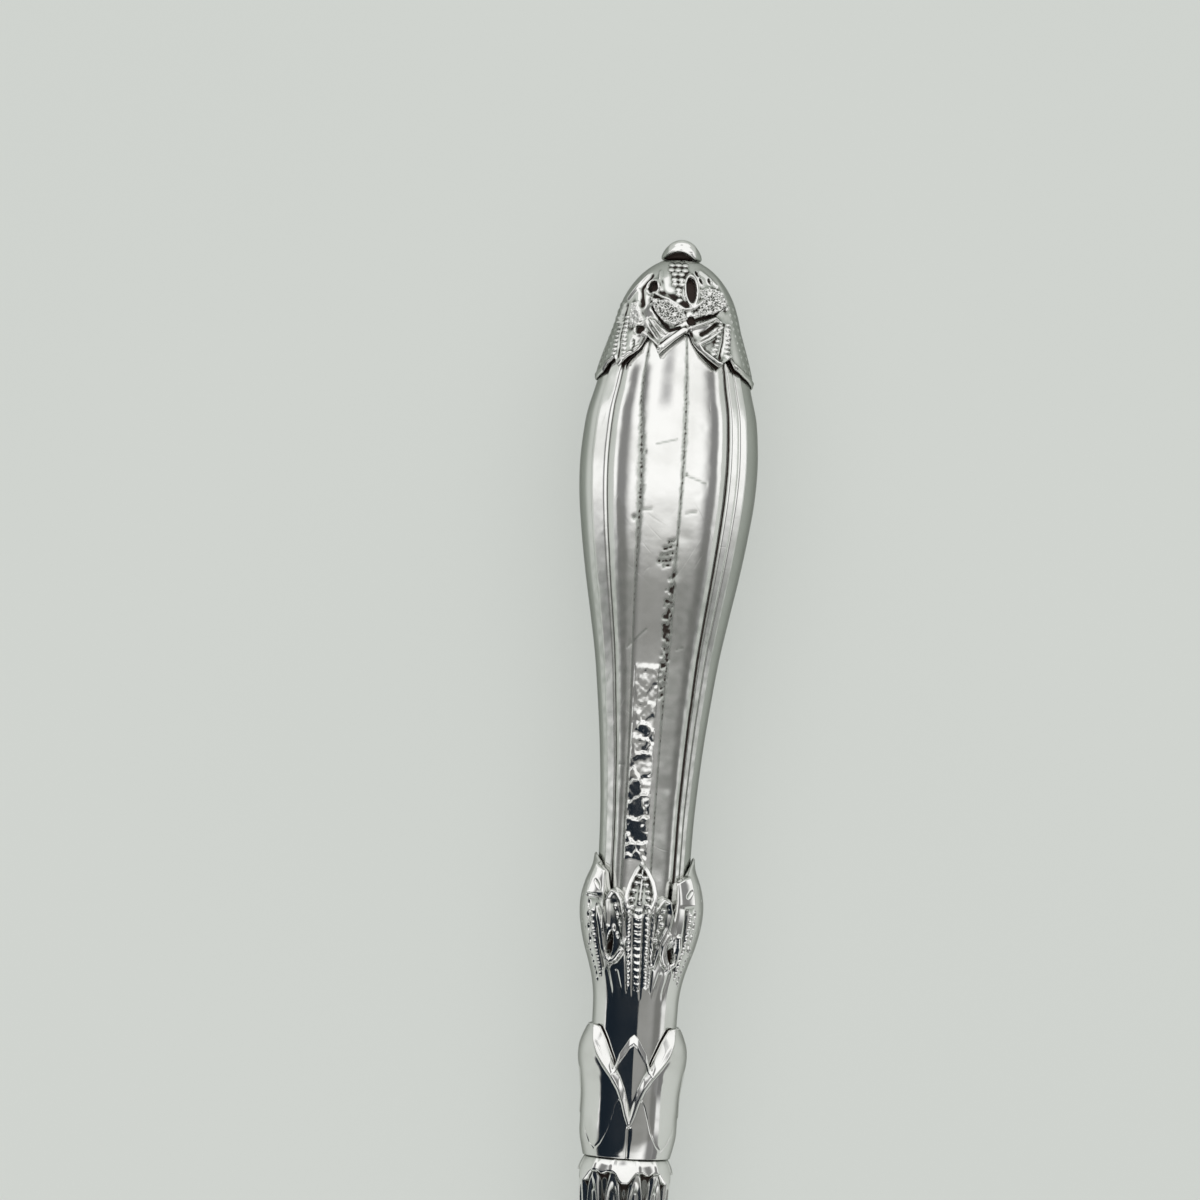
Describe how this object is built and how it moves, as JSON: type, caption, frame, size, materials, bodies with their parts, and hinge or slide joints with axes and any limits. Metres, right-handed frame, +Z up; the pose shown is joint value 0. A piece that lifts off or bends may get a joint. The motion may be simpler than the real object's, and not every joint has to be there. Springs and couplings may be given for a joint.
{
  "type": "pickle fork",
  "caption": "Long pickle fork with a fluted, leaf-capped silver handle built up in sections on the tang of a slender fork with barbed outer tines.",
  "frame": {"origin": "centre of the bounding box's bottom face, on the table that the fork lies on", "axes": "+Y along the handle towards its finial, +Z up out of the handle's front face, +X to the right of the handle seen from above"},
  "size_m": [0.0168, 0.2052, 0.0159],
  "materials": {
    "sheet_silver": "polished silver sheet, scratched and dented with use",
    "cast_silver": "polished cast silver with brown tarnish in the recesses",
    "forged_silver": "polished forged silver with fine scratches",
    "pitch": "set brown pitch"
  },
  "bodies": {
    "root": {"finial_bead": "sheet_silver", "leaf_cap": "cast_silver", "grip_front_shell": "sheet_silver", "grip_back_shell": "sheet_silver", "pitch_filling": "pitch", "leaf_collar": "cast_silver", "petal_calyx": "cast_silver", "leaf_cuff": "cast_silver", "mouth_ring": "sheet_silver", "tined_fork": "forged_silver"}
  },
  "joints": []
}
